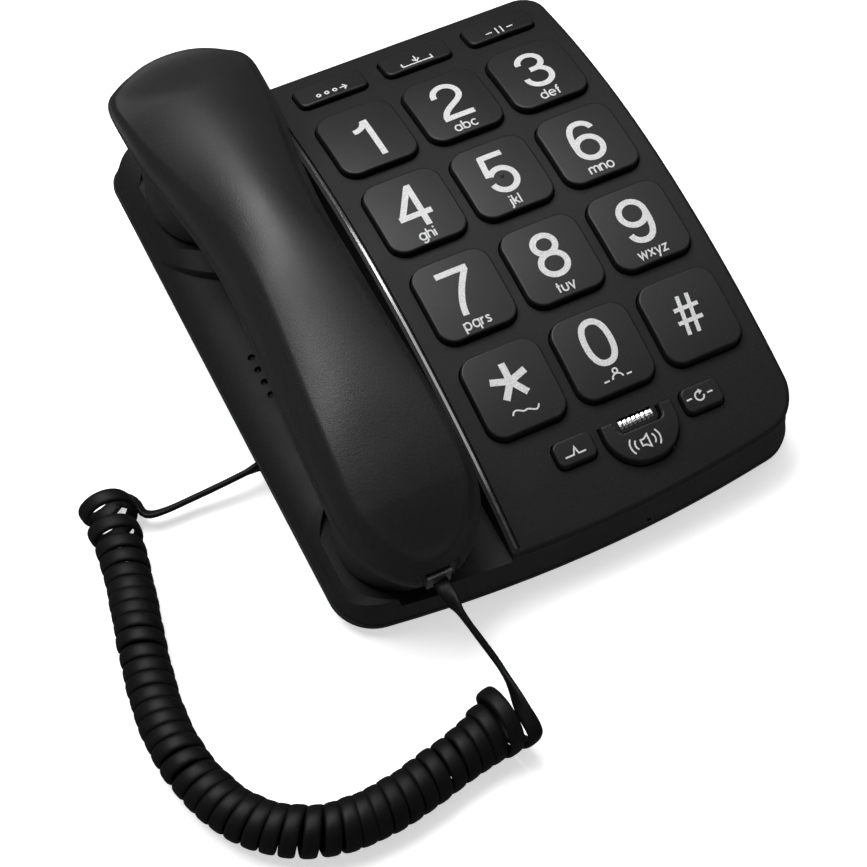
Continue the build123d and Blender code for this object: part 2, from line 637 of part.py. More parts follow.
# ---------------------------------------------------------------- assembly
def build():
    keep("base_top_shell", base_top_shell())
    keep("base_bottom_shell", base_bottom_shell())
    keep("trim_strip", strip_solid(-25.4, -24.6, -0.25, 1.2))
    for name, x, s, width, depth, corner in key_list():
        keep(name, make_key(x, s, width, depth, corner))
    keep("key_speaker", make_speaker_key())
    keep("main_board", main_board())
    keep("keypad_membrane", membrane())
    keep("lamp_window", lamp_window())
    keep("lamp", lamp())
    keep("loudspeaker", loudspeaker())
    keep("loudspeaker_cone", loudspeaker_cone())
    keep("hook_switch", hook_switch())
    keep("hook_plunger", hook_plunger())
    keep("cord_socket", cord_socket())
    keep("line_socket", line_socket())
    keep("ringer_switch", switch_knob(RINGER_X, STAND_REAR_Y, RINGER_Z, 0))
    keep("volume_switch", switch_knob(STAND_HALF_WIDTH, VOLUME_Y, VOLUME_Z, -90))
    keep("base_weight", base_weight())
    keep("base_microphone", base_microphone())
    keep("case_screws", case_screws())
    keep("rubber_feet", rubber_feet(), on_deck=False)
    keep("handset_top_shell", handset_top_shell())
    keep("handset_bottom_shell", handset_bottom_shell())
    keep("earpiece_receiver", receiver())
    keep("handset_microphone", handset_microphone())
    keep("handset_weight", handset_weight())
    keep("handset_socket", handset_socket())
    keep("base_plug", Pos(-62.6, BASE_JACK_Y, BASE_JACK_Z) * cord_plug())
    nose = Pos(CRADLE_X, -178.6, HANDSET_JACK_Z) * Rot(0, 0, 90) * cord_plug()
    keep("handset_plug", nose)
    cord()


build()
os.makedirs("parts", exist_ok=True)
for part_name, part_shape in PARTS.items():
    export_step(part_shape, f"parts/{part_name}.step")
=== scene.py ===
import json
import math

import bmesh
import bpy
import numpy as np
from mathutils import Matrix, Vector
from mathutils.bvhtree import BVHTree


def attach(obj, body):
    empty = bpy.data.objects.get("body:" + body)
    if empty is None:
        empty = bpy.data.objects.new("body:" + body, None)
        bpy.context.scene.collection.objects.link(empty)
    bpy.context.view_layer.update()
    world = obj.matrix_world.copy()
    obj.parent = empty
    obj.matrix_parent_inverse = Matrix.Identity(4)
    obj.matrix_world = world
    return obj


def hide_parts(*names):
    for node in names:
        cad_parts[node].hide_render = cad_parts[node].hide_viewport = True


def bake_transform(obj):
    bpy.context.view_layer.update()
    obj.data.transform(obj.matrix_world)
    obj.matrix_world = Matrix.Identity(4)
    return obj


# A corded desk telephone with large keys. Shapes are given in millimetres in the base's own deck
# frame (X right, Y to the rear, Z out of the deck), which deck() turns into metres on the desk.

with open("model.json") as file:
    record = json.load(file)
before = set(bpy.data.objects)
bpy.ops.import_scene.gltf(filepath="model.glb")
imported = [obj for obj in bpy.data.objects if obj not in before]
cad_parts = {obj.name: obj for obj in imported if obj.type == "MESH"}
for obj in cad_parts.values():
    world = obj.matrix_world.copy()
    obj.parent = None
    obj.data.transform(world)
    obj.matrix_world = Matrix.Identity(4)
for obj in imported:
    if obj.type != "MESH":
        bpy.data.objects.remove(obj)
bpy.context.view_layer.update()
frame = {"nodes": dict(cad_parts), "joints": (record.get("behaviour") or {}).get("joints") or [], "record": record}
NODES = frame["nodes"]
MM = 0.001


# ---------------------------------------------------------------- the deck's frame, from the CAD
def joint(name):
    return next(j for j in frame["joints"] if j["name"] == name)


LIFT = Vector(joint("handset_lift")["axis"])
TURN = Matrix.Rotation(math.atan2(-LIFT.y, LIFT.z), 3, "X")


def turned_box(node):
    """Lowest and highest corner of a CAD node in the deck's directions, in metres."""
    points = np.array([v.co for v in NODES[node].data.vertices]) @ np.array(TURN)
    return Vector(points.min(0)), Vector(points.max(0))


STRIP_REAR_Y = -2.0      # the trim strip's rear end in the deck frame
PARTING_Z = 2.0          # lower edge of the base's top shell in the deck frame
DECK_ORIGIN = Vector((0.0, turned_box("trim_strip")[1].y - STRIP_REAR_Y * MM,
                      turned_box("base_top_shell")[0].z - PARTING_Z * MM))


def deck(x, y, z):
    """A point of the deck frame, in millimetres, as a point on the desk in metres."""
    return TURN @ (Vector((x, y, z)) * MM + DECK_ORIGIN)


def deck_box(node):
    low, high = turned_box(node)
    return (low - DECK_ORIGIN) / MM, (high - DECK_ORIGIN) / MM


# ---------------------------------------------------------------- camera, floor and light
CAMERA_PLACE = (-0.2114, -0.3983, 0.5815)
CAMERA_AZIMUTH = 27.14       # degrees, turned to the right of +Y
CAMERA_ELEVATION = 54.2
LENS = 95.9
WORLD_LIGHT = 0.085
FLOOR_GLOW = 0.60            # the floor stays white where its light is soft
FLOOR_DROP = -0.0002         # just under the feet
# name, place, what it points at, width and depth, and watts
LIGHTS = [("key_light", (-0.22, 0.36, 1.08), (0.0, 0.0, 0.03), (0.95, 0.62), 14.0),
          ("side_light", (-0.95, 0.1, 0.35), (-0.03, 0.0, 0.03), (0.4, 0.3), 0.2),
          ("fill_light", (0.5, 0.2, 1.1), (0.0, 0.0, 0.03), (0.9, 0.9), 2.2)]


def make_camera():
    data = bpy.data.cameras.new("camera")
    data.lens = LENS
    data.sensor_width = 36.0
    data.clip_start = 0.01
    data.clip_end = 20.0
    camera = bpy.data.objects.new("camera", data)
    bpy.context.scene.collection.objects.link(camera)
    camera.location = CAMERA_PLACE
    camera.rotation_euler = (math.radians(90 - CAMERA_ELEVATION), 0.0, math.radians(-CAMERA_AZIMUTH))
    bpy.context.scene.camera = camera


def area_light(name, place, aim, size, power):
    data = bpy.data.lights.new(name, "AREA")
    data.shape = "RECTANGLE"
    data.size, data.size_y = size
    data.energy = power
    light = bpy.data.objects.new(name, data)
    bpy.context.scene.collection.objects.link(light)
    light.location = place
    light.rotation_euler = (Vector(aim) - Vector(place)).to_track_quat("-Z", "Y").to_euler()


def make_studio():
    scene = bpy.context.scene
    scene.view_settings.view_transform = "Standard"
    world = bpy.data.worlds.new("studio")
    scene.world = world
    world.use_nodes = True
    background = world.node_tree.nodes["Background"]
    background.inputs["Color"].default_value = (1.0, 1.0, 1.0, 1.0)
    background.inputs["Strength"].default_value = WORLD_LIGHT
    for light in LIGHTS:
        area_light(*light)
    bpy.ops.mesh.primitive_plane_add(size=6.0, location=(0.0, 0.0, FLOOR_DROP))
    floor = bpy.context.object
    floor.name = "studio_floor"
    material = bpy.data.materials.new("floor_white")
    material.use_nodes = True
    shader = material.node_tree.nodes["Principled BSDF"]
    shader.inputs["Base Color"].default_value = (0.93, 0.93, 0.93, 1.0)
    shader.inputs["Roughness"].default_value = 0.9
    shader.inputs["Emission Color"].default_value = (1.0, 1.0, 1.0, 1.0)
    shader.inputs["Emission Strength"].default_value = FLOOR_GLOW
    floor.data.materials.append(material)
    floor.visible_glossy = False     # the phone's sheen comes from the lights alone


# ---------------------------------------------------------------- materials
def new_material(name, color, roughness, metallic=0.0, specular=0.5):
    material = bpy.data.materials.new(name)
    material.use_nodes = True
    shader = material.node_tree.nodes["Principled BSDF"]
    shader.inputs["Base Color"].default_value = (*color, 1.0)
    shader.inputs["Roughness"].default_value = roughness
    shader.inputs["Metallic"].default_value = metallic
    shader.inputs["Specular IOR Level"].default_value = specular
    return material, shader


def noise(tree, scale, detail=3.0, stretch=(1.0, 1.0, 1.0)):
    """Noise in the object's own coordinates, so many cells to the metre."""
    coordinates = tree.nodes.new("ShaderNodeTexCoord")
    mapping = tree.nodes.new("ShaderNodeMapping")
    mapping.inputs["Scale"].default_value = stretch
    texture = tree.nodes.new("ShaderNodeTexNoise")
    texture.inputs["Scale"].default_value = scale
    texture.inputs["Detail"].default_value = detail
    tree.links.new(coordinates.outputs["Object"], mapping.inputs["Vector"])
    tree.links.new(mapping.outputs["Vector"], texture.inputs["Vector"])
    return texture


def spread(tree, source, low, high):
    """A number that runs from low to high as the source runs through its usual range."""
    ramp = tree.nodes.new("ShaderNodeMapRange")
    ramp.inputs["From Min"].default_value = 0.3
    ramp.inputs["From Max"].default_value = 0.7
    ramp.inputs["To Min"].default_value = low
    ramp.inputs["To Max"].default_value = high
    tree.links.new(source, ramp.inputs["Value"])
    return ramp.outputs["Result"]


def tint(tree, shader, factor, first, second):
    mix = tree.nodes.new("ShaderNodeMix")
    mix.data_type = "RGBA"
    mix.inputs["A"].default_value = (*first, 1.0)
    mix.inputs["B"].default_value = (*second, 1.0)
    tree.links.new(factor, mix.inputs["Factor"])
    tree.links.new(mix.outputs["Result"], shader.inputs["Base Color"])


def bump(tree, shader, height, strength, distance):
    node = tree.nodes.new("ShaderNodeBump")
    node.inputs["Strength"].default_value = strength
    node.inputs["Distance"].default_value = distance
    tree.links.new(height, node.inputs["Height"])
    tree.links.new(node.outputs["Normal"], shader.inputs["Normal"])


def moulded(name, color, roughness, grain_scale, grain_strength, specular=0.5, smudge=0.06):
    """Moulded plastic: a fine spark-eroded grain, and a roughness that wanders a little."""
    material, shader = new_material(name, color, roughness, specular=specular)
    tree = material.node_tree
    grain = noise(tree, grain_scale, 2.0)
    patches = noise(tree, 38.0, 4.0)
    tree.links.new(spread(tree, patches.outputs["Fac"], roughness - smudge, roughness + smudge),
                   shader.inputs["Roughness"])
    lighter = [min(1.0, c * 1.35 + 0.001) for c in color]
    tint(tree, shader, spread(tree, grain.outputs["Fac"], 0.0, 1.0), [c * 0.85 for c in color], lighter)
    bump(tree, shader, grain.outputs["Fac"], grain_strength, 0.00008)
    return material


def metal(name, color, roughness, stretch=(1.0, 1.0, 12.0)):
    material, shader = new_material(name, color, roughness, metallic=1.0)
    tree = material.node_tree
    lines = noise(tree, 900.0, 2.0, stretch)
    tree.links.new(spread(tree, lines.outputs["Fac"], roughness * 0.7, roughness * 1.4),
                   shader.inputs["Roughness"])
    bump(tree, shader, lines.outputs["Fac"], 0.08, 0.00003)
    return material


def clear(name, color, roughness, transmission):
    material, shader = new_material(name, color, roughness)
    shader.inputs["Transmission Weight"].default_value = transmission
    shader.inputs["IOR"].default_value = 1.49
    tree = material.node_tree
    wave = noise(tree, 260.0, 2.0)
    bump(tree, shader, wave.outputs["Fac"], 0.05, 0.00005)
    return material


MATERIALS = {
    "base_plastic": moulded("base_plastic", (0.0072, 0.0072, 0.0074), 0.58, 1500.0, 0.3, 0.26),
    "handset_plastic": moulded("handset_plastic", (0.0100, 0.0100, 0.0103), 0.47, 1700.0, 0.6, 0.44),
    "key_plastic": moulded("key_plastic", (0.0078, 0.0078, 0.0080), 0.44, 2200.0, 0.16, 0.36, 0.04),
    "cord_jacket": moulded("cord_jacket", (0.0030, 0.0030, 0.0031), 0.52, 1900.0, 0.12, 0.18, 0.05),
    "inner_plastic": moulded("inner_plastic", (0.012, 0.012, 0.012), 0.6, 1200.0, 0.2),
    "silicone": moulded("silicone", (0.42, 0.42, 0.43), 0.65, 900.0, 0.15),
    "rubber": moulded("rubber", (0.015, 0.015, 0.015), 0.75, 1400.0, 0.4),
    "paper_cone": moulded("paper_cone", (0.04, 0.038, 0.036), 0.8, 1100.0, 0.5),
    "circuit_board": moulded("circuit_board", (0.02, 0.13, 0.05), 0.35, 420.0, 0.15),
    "lamp_red": moulded("lamp_red", (0.5, 0.03, 0.02), 0.2, 600.0, 0.05),
    "steel": metal("steel", (0.56, 0.56, 0.57), 0.32),
    "silver_trim": metal("silver_trim", (0.34, 0.34, 0.345), 0.16, (1.0, 0.08, 1.0)),
    "clear_lens": metal("clear_lens", (0.88, 0.88, 0.89), 0.12, (1.0, 0.2, 1.0)),
    "clear_plug": clear("clear_plug", (0.04, 0.04, 0.04), 0.3, 0.35),
    "ink": moulded("ink", (0.60, 0.60, 0.60), 0.5, 2600.0, 0.08),
}


def dress_cad_nodes():
    """Each CAD node that stays gets the material that the record names for it."""
    slots = {part["node"]: part["material_slot"] for part in frame["record"]["subparts"]}
    for name, node in NODES.items():
        node.data.materials.clear()
        node.data.materials.append(MATERIALS[slots[name]])
        for face in node.data.polygons:
            face.use_smooth = True


# ---------------------------------------------------------------- mesh helpers
def mesh_piece(name, points, faces, material, body):
    mesh = bpy.data.meshes.new(name)
    mesh.from_pydata([tuple(p) for p in points], [], faces)
    mesh.validate()
    shape = bmesh.new()
    shape.from_mesh(mesh)
    bmesh.ops.remove_doubles(shape, verts=shape.verts, dist=0.000002)
    bmesh.ops.recalc_face_normals(shape, faces=shape.faces)
    shape.to_mesh(mesh)
    shape.free()
    for face in mesh.polygons:
        face.use_smooth = True
    mesh.materials.append(MATERIALS[material])
    piece = bpy.data.objects.new(name, mesh)
    bpy.context.scene.collection.objects.link(piece)
    if body:
        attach(piece, body)
    return piece


def strip_faces(rows, columns, closed):
    """Quads between rows of points, each row a ring if closed."""
    faces = []
    around = columns if closed else columns - 1
    for row in range(rows - 1):
        for column in range(around):
            a = row * columns + column
            b = row * columns + (column + 1) % columns
            faces.append((a, b, b + columns, a + columns))
    return faces


def curve_through(points):
    """Smooth function y -> value through a few (y, value) points, given from the rear to the front."""
    ys = np.array([p[0] for p in points][::-1], float)
    values = np.array([p[1] for p in points][::-1], float)
    slopes = np.gradient(values, ys)

    def value(y):
        y = min(max(y, ys[0]), ys[-1])
        i = min(max(int(np.searchsorted(ys, y)) - 1, 0), len(ys) - 2)
        span = ys[i + 1] - ys[i]
        t = (y - ys[i]) / span
        a, b = values[i], values[i + 1]
        m, n = slopes[i] * span, slopes[i + 1] * span
        return (a * (2 * t ** 3 - 3 * t ** 2 + 1) + b * (3 * t ** 2 - 2 * t ** 3)
                + m * (t ** 3 - 2 * t ** 2 + t) + n * (t ** 3 - t ** 2))
    return value


def mix(a, b, t):
    return a + (b - a) * t


# ---------------------------------------------------------------- cord
CORD_WIDTH = 4.8
CORD_HALF_THICKNESS = 1.0
COIL_TURNS = 41
COIL_RADII = (5.95, 6.45)     # of the cord's centreline, at the base's end and the handset's
STEPS_PER_TURN = 16
COIL_FIRST_ANGLE = -0.75               # about the route, from its lowest point towards its outer side
COIL_LAST_ANGLE = math.radians(285)    # counted from the highest point
COIL_CLEARANCE = 0.25                  # above the desk
# The last turns at the base's end and at the handset's end are looser than the rest:
LOOSE_TURNS = (2.0, 1.7)               # how many they are
LOOSE_RADII = (1.5, 3.0)               # how much larger they get
LOOSE_PACES = (0.9, 0.24)              # how much further apart they lie
LOOSE_LEAN = 0.25                      # how far the first ones turn aside, in radians
# The routes' points, in metres on the desk.
BASE_TAIL = [(-0.0626, -0.0169, 0.0094), (-0.0740, -0.0173, 0.0089), (-0.0860, -0.0174, 0.0072),
             (-0.0975, -0.0169, 0.0054), (-0.1065, -0.0171, 0.0050), (-0.1124, -0.0161, 0.0048),
             (-0.1134, -0.0110, 0.0052)]
COIL = [(-0.1218, -0.0060, 0.0084), (-0.1236, -0.0240, 0.0084), (-0.1275, -0.0429, 0.0084),
        (-0.1328, -0.0638, 0.0084), (-0.1366, -0.0860, 0.0084), (-0.1350, -0.1062, 0.0084),
        (-0.1272, -0.1248, 0.0084), (-0.1108, -0.1362, 0.0084), (-0.0908, -0.1374, 0.0084),
        (-0.0698, -0.1326, 0.0084), (-0.0476, -0.1279, 0.0084)]
HANDSET_TAIL = [(-0.0466, -0.1300, 0.0166), (-0.0459, -0.1232, 0.0174), (-0.0462, -0.1168, 0.0188),
                (-0.0479, -0.1106, 0.0222), (-0.0499, -0.1042, 0.0262), (-0.0515, -0.0976, 0.0298),
                (-0.0520, -0.0914, 0.0311)]


def nurbs_line(points, resolution):
    """Points along a smooth spline whose control points are given."""
    data = bpy.data.curves.new("route", "CURVE")
    data.dimensions = "3D"
    data.resolution_u = resolution
    spline = data.splines.new("NURBS")
    spline.points.add(len(points) - 1)
    for point, place in zip(spline.points, points):
        point.co = (*place, 1.0)
    spline.order_u = 3
    spline.use_endpoint_u = True
    holder = bpy.data.objects.new("route", data)
    bpy.context.scene.collection.objects.link(holder)
    bpy.context.view_layer.update()
    mesh = bpy.data.meshes.new_from_object(holder)
    line = [v.co.copy() for v in mesh.vertices]
    bpy.data.objects.remove(holder)
    bpy.data.meshes.remove(mesh)
    bpy.data.curves.remove(data)
    return line


def along(line, count):
    """Count points spaced evenly along a line, and the line's direction at each."""
    points = np.array(line)
    steps = np.linalg.norm(np.diff(points, axis=0), axis=1)
    travelled = np.concatenate([[0.0], np.cumsum(steps)])
    wanted = np.linspace(0.0, travelled[-1], count)
    places = np.stack([np.interp(wanted, travelled, points[:, i]) for i in range(3)], 1)
    directions = np.gradient(places, axis=0)
    directions /= np.linalg.norm(directions, axis=1)[:, None]
    return places, directions


def coil_points():
    """Helix about the coil's route: control points, and the way the cord's flat side lies at each."""
    count = COIL_TURNS * STEPS_PER_TURN
    fine = 4000
    places, directions = along(nurbs_line(COIL, 24), fine)
    points, flats = [], []
    total = 2 * math.pi * COIL_TURNS + COIL_LAST_ANGLE - COIL_FIRST_ANGLE - math.pi
    share = np.linspace(0.0, 1.0, count)
    near_start = np.exp(-(share * COIL_TURNS / LOOSE_TURNS[0]) ** 2)
    near_end = np.exp(-((1 - share) * COIL_TURNS / LOOSE_TURNS[1]) ** 2)
    # no two turns lie quite as far apart
    wander = 0.10 * np.sin(share * 31.0) + 0.07 * np.sin(share * 57.0 + 1.0)
    pace = 1.0 + LOOSE_PACES[0] * near_start + LOOSE_PACES[1] * near_end + wander
    distance = np.cumsum(pace)
    distance = (distance - distance[0]) / (distance[-1] - distance[0])
    # a spline passes inside its control points, so they stand further out
    outset = 2.0 / (1.0 + math.cos(2 * math.pi / STEPS_PER_TURN))
    for i in range(count):
        k = min(int(distance[i] * (fine - 1)), fine - 1)
        angle = COIL_FIRST_ANGLE + total * share[i]
        lean = LOOSE_LEAN * near_start[i]
        heading = Vector(directions[k])
        forward = Vector((heading.x * math.cos(lean) - heading.y * math.sin(lean),
                          heading.x * math.sin(lean) + heading.y * math.cos(lean), heading.z))
        up = Vector((0.0, 0.0, 1.0))
        side = forward.cross(up).normalized()
        radius = (mix(*COIL_RADII, share[i]) + LOOSE_RADII[0] * near_start[i] + LOOSE_RADII[1] * near_end[i]
                  + 0.1 * math.sin(share[i] * 90.0))
        centre = Vector(places[k])
        centre.z = (radius + CORD_HALF_THICKNESS + COIL_CLEARANCE) * MM
        out = side * math.sin(angle) - up * math.cos(angle)
        points.append(centre + out * radius * outset * MM)
        flats.append(forward)
    return points, flats


def flat_section():
    """Half of a flat cord's width and thickness as a rounded oval."""
    ring = []
    for i in range(14):
        angle = 2 * math.pi * i / 14
        c, s = math.cos(angle), math.sin(angle)
        ring.append((math.copysign(abs(c) ** 0.72, c) * CORD_WIDTH / 2 * MM,
                     math.copysign(abs(s) ** 0.72, s) * CORD_HALF_THICKNESS * MM))
    return ring


def make_cord():
    helix, helix_flats = coil_points()
    on_edge = Vector((-0.30, -0.52, 0.80))
    at_plug = Vector((0.0, 1.0, 0.0))
    first, last = helix_flats[0], helix_flats[-1]
    base_flats = [at_plug] + [on_edge] * 3 + [on_edge.lerp(first, share) for share in (0.2, 0.5, 0.8)]
    across = Vector((1.0, 0.0, 0.0))
    top_flats = ([on_edge.lerp(last, share) for share in (0.7, 0.4, 0.1)] + [on_edge] * 2
                 + [on_edge.lerp(across, 0.25), across])
    control = [Vector(p) for p in BASE_TAIL] + helix + [Vector(p) for p in HANDSET_TAIL]
    flats = base_flats + helix_flats + top_flats
    line = nurbs_line(control, 4)
    count = len(line)
    points = []
    for i, place in enumerate(line):
        forward = (line[min(i + 1, count - 1)] - line[max(i - 1, 0)]).normalized()
        j = i / (count - 1) * (len(flats) - 1)
        low = int(j)
        high = min(low + 1, len(flats) - 1)
        wide = flats[low].lerp(flats[high], j - low)
        wide = (wide - forward * wide.dot(forward)).normalized()
        thin = forward.cross(wide)
        for u, v in flat_section():
            points.append(place + wide * u + thin * v)
    around = len(flat_section())
    faces = strip_faces(count, around, True)
    faces.append(tuple(range(around))[::-1])
    faces.append(tuple(range((count - 1) * around, count * around)))
    cord = mesh_piece("curly_cord", points, faces, "cord_jacket", None)
    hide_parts("cord_base_tail", "cord_coil", "cord_handset_tail")
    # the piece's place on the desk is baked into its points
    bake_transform(cord)


# ---------------------------------------------------------------- handset
HANDSET_X = -52.0
HANDSET_SKEW = math.radians(0.5)     # it lies a little askew, turned about its mouth end
HANDSET_PIVOT_Y = -165.0
REAR_ARC_RADIUS = 35.1
REAR_END_Y = 6.9
NOSE_START_Y = -152.0
SIDE = curve_through([(6.0, 24.4), (-3.0, 24.2), (-26.0, 23.5), (-47.0, 20.6), (-68.0, 18.8), (-96.0, 19.4),
                      (-126.0, 21.3), (-152.0, 22.0), (-181.5, 22.0)])
CREST = curve_through([(7.5, 47.5), (-12.0, 55.0), (-42.0, 62.0), (-76.0, 65.3), (-110.0, 62.8),
                       (-140.0, 57.5), (-162.0, 49.5), (-174.0, 41.5), (-181.5, 31.0)])
SPLIT = curve_through([(7.5, 45.2), (-40.0, 46.0), (-80.0, 48.0), (-120.0, 43.5), (-155.0, 39.0),
                       (-172.0, 34.5), (-181.5, 28.5)])
BELLY = curve_through([(7.5, 40.5), (-40.0, 38.0), (-80.0, 38.5), (-120.0, 33.5), (-155.0, 24.5),
                       (-172.0, 21.0), (-181.5, 20.0)])
BAND = curve_through([(6.0, 2.3), (-3.0, 2.4), (-12.0, 3.2), (-30.0, 6.5), (-50.0, 10.0), (-76.0, 12.6),
                      (-110.0, 13.6), (-140.0, 12.8), (-160.0, 10.0), (-172.0, 8.0), (-181.0, 7.0)])
INBOARD = curve_through([(6.0, 1.0), (-3.0, 2.6), (-12.0, 3.6), (-30.0, 4.8), (-50.0, 5.8), (-76.0, 6.5),
                         (-110.0, 6.0), (-140.0, 5.2), (-160.0, 5.0), (-180.0, 4.5)])
SPINE_REAR_Y = -16.0
SPINE_FRONT_Y = -160.0
SEAM = 0.25                  # half the width of the parting line's groove
WALL = 0.0022                # of the handset's two shells, in metres
LIP = [(1.0, 0.7), (0.9, -0.25)]    # behind the groove: how far inboard and how far above the parting line
# the caps: name, place along the handset, cap_profile's sizes, radius of the ring of holes and their number
CAPS = [("ear_cap", -25.0, (21.5, 19.8, 41.0, 13.3), 6.0, 6),
        ("mouth_cap", -154.0, (20.5, 18.8, 30.0, 10.8), 4.0, 4)]
CAP_HOLE_RADIUS = 1.1
# the band's profile: how far inboard and how high, as shares of the whole band
BAND_PROFILE = [(0.0, 0.0), (0.0, 0.05), (0.05, 0.12), (0.25, 0.22), (0.45, 0.36), (0.60, 0.54), (0.71, 0.72),
                (0.80, 0.86), (0.90, 0.96), (1.02, 1.03)]


def handset_outline():
    """Plan of the handset about its own middle line, as a closed ring of points."""
    right = []
    # rear arc from the middle to the corner, the corner as a short curve, and the long side
    for x in np.linspace(0.0, 20.0, 12):
        right.append((x, REAR_END_Y - REAR_ARC_RADIUS + math.sqrt(REAR_ARC_RADIUS ** 2 - x ** 2)))
    start, corner = Vector(right[-1]), Vector((24.3, -1.8))
    end = Vector((SIDE(-9.0), -9.0))
    for t in np.linspace(0.1, 0.9, 9):
        right.append(tuple(start * (1 - t) ** 2 + corner * 2 * t * (1 - t) + end * t ** 2))
    for y in np.linspace(-9.0, NOSE_START_Y, 56):
        right.append((SIDE(y), y))
    depth = NOSE_START_Y - deck_box("handset_top_shell")[0].y - 0.4
    for angle in np.linspace(0.0, math.pi / 2, 19)[1:]:
        right.append((SIDE(NOSE_START_Y) * math.cos(angle), NOSE_START_Y - depth * math.sin(angle)))
    left = [(-x, y) for x, y in right[1:-1]][::-1]
    return right + left


def hand(x, y, z):
    """Like deck(), for a point of the handset about its own middle line."""
    along_it, across = y - HANDSET_PIVOT_Y, x
    c, s = math.cos(HANDSET_SKEW), math.sin(HANDSET_SKEW)
    return deck(HANDSET_X + across * c - along_it * s, HANDSET_PIVOT_Y + across * s + along_it * c, z)


def inward(x, y, amount):
    """The point of the plan moved towards the handset's middle line, and the point it moves towards."""
    spine = Vector((0.0, min(max(y, SPINE_FRONT_Y), SPINE_REAR_Y)))
    way = spine - Vector((x, y))
    return Vector((x, y)) + way * min(amount / way.length, 1.0), spine


def handset_rings(profile):
    """Rings of points from the parting line to the middle line, one ring for each step of the profile."""
    outline = handset_outline()
    rings = []
    for step in profile:
        ring = []
        for x, y in outline:
            ring.append(step(x, y))
        rings.append(ring)
    return rings, len(outline)


def band_step(inboard, height):
    """Side of the cover, from the parting line up to the crown's edge."""
    def place(x, y):
        spot = inward(x, y, INBOARD(y) * inboard)[0]
        z = SPLIT(y) + SEAM + BAND(y) * height
        return hand(spot.x, spot.y, z)
    return place


def crown_step(t):
    """Crown of the cover, a share of the way from its edge to the middle line."""
    def place(x, y):
        edge, spine = inward(x, y, INBOARD(y) * 1.02)
        spot = edge.lerp(spine, t)
        low = SPLIT(y) + SEAM + BAND(y) * 1.03
        z = mix(low, CREST(spot.y), 1 - (1 - t) ** 2.1)
        return hand(spot.x, spot.y, z)
    return place


def belly_step(t):
    """Underside: the wall drops from the parting line and rounds into the flat belly."""
    def place(x, y):
        spot, spine = inward(x, y, SEAM)
        spot = spot.lerp(spine, t)
        high, low = SPLIT(y) - SEAM, BELLY(spine.y)
        drop = (1 - (1 - min(t / 0.42, 1.0)) ** 2.6) ** (1 / 2.6)
        return hand(spot.x, spot.y, mix(high, low, drop))
    return place


def lip_step(inset, rise):
    """Rim of the underside that stands up behind the parting line, so that no light passes through it."""
    def place(x, y):
        spot = inward(x, y, inset)[0]
        return hand(spot.x, spot.y, SPLIT(y) + rise)
    return place


def shell_piece(name, rings, columns):
    """One of the handset's shells: its outer skin through the rings, and a wall inside it."""
    points = [p for ring in rings for p in ring]
    piece = mesh_piece(name, points, strip_faces(len(rings), columns, True), "handset_plastic", None)
    merge = piece.modifiers.new("merge", "WELD")
    merge.merge_threshold = 0.00002
    smooth = piece.modifiers.new("smooth", "SUBSURF")
    smooth.levels = smooth.render_levels = 1
    wall = piece.modifiers.new("wall", "SOLIDIFY")
    wall.thickness = WALL
    wall.offset = -1.0
    wall.use_even_offset = False
    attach(piece, "handset")
    return piece


def handset_top():
    steps = [band_step(a, b) for a, b in BAND_PROFILE]
    steps += [crown_step(t) for t in (0.06, 0.14, 0.25, 0.38, 0.52, 0.66, 0.80, 0.92, 1.0)]
    rings, columns = handset_rings(steps)
    piece = shell_piece("handset_cover", rings, columns)
    cut(piece, nose_notch())
    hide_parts("handset_top_shell")


def circle(x, y, radius, count):
    """Points evenly spaced about a circle."""
    return [(x + radius * math.cos(2 * math.pi * i / count), y + radius * math.sin(2 * math.pi * i / count))
            for i in range(count)]


def lathe(name, centre_y, profile, count=72):
    """Turned piece of the handset about an axis that stands on the deck, from (radius, height) points."""
    points = [hand(x, y, height) for radius, height in profile for x, y in circle(0.0, centre_y, radius, count)]
    return mesh_piece(name, points, strip_faces(len(profile), count, True), "handset_plastic", "handset")


def cap_profile(radius_top, radius_face, top, face):
    """Closed section of an ear or mouth cap: a soft edge, a shallow dish, and the inner wall back up."""
    return [(radius_top, top), (mix(radius_top, radius_face, 0.5), mix(top, face, 0.5)), (radius_face, face + 2.2),
            (radius_face - 0.5, face + 0.9), (radius_face - 1.6, face + 0.15), (radius_face - 3.0, face),
            (radius_face - 4.5, face + 0.5), (radius_face * 0.5, face + 1.4), (0.3, face + 1.7),
            (0.3, face + 3.2), (radius_face * 0.5, face + 3.0), (radius_face - 3.2, face + 2.4),
            (radius_top - 2.2, top)]


def cut(piece, cutters):
    """Takes the cutters out of a piece, with its other modifiers applied first."""
    for cutter in cutters:
        taken = piece.modifiers.new("cut", "BOOLEAN")
        taken.operation = "DIFFERENCE"
        taken.solver = "FAST"
        taken.object = cutter
    bpy.context.view_layer.update()
    whole = piece.evaluated_get(bpy.context.evaluated_depsgraph_get())
    result = bpy.data.meshes.new_from_object(whole)
    piece.modifiers.clear()
    piece.data = result
    for cutter in cutters:
        bpy.data.objects.remove(cutter)


def rod(x, y, z_low, z_high, radius, count=20):
    """Plain rod along the handset's height, to cut a hole with."""
    return prism(circle(x, y, radius, count), z_low, z_high)


def prism(outline, z_low, z_high):
    """Plain prism along the handset's height, to cut with."""
    count = len(outline)
    points = [hand(x, y, z) for z in (z_low, z_high) for x, y in outline]
    faces = strip_faces(2, count, True) + [tuple(range(count)), tuple(range(count, 2 * count))]
    return mesh_piece("cutter", points, faces, "inner_plastic", None)


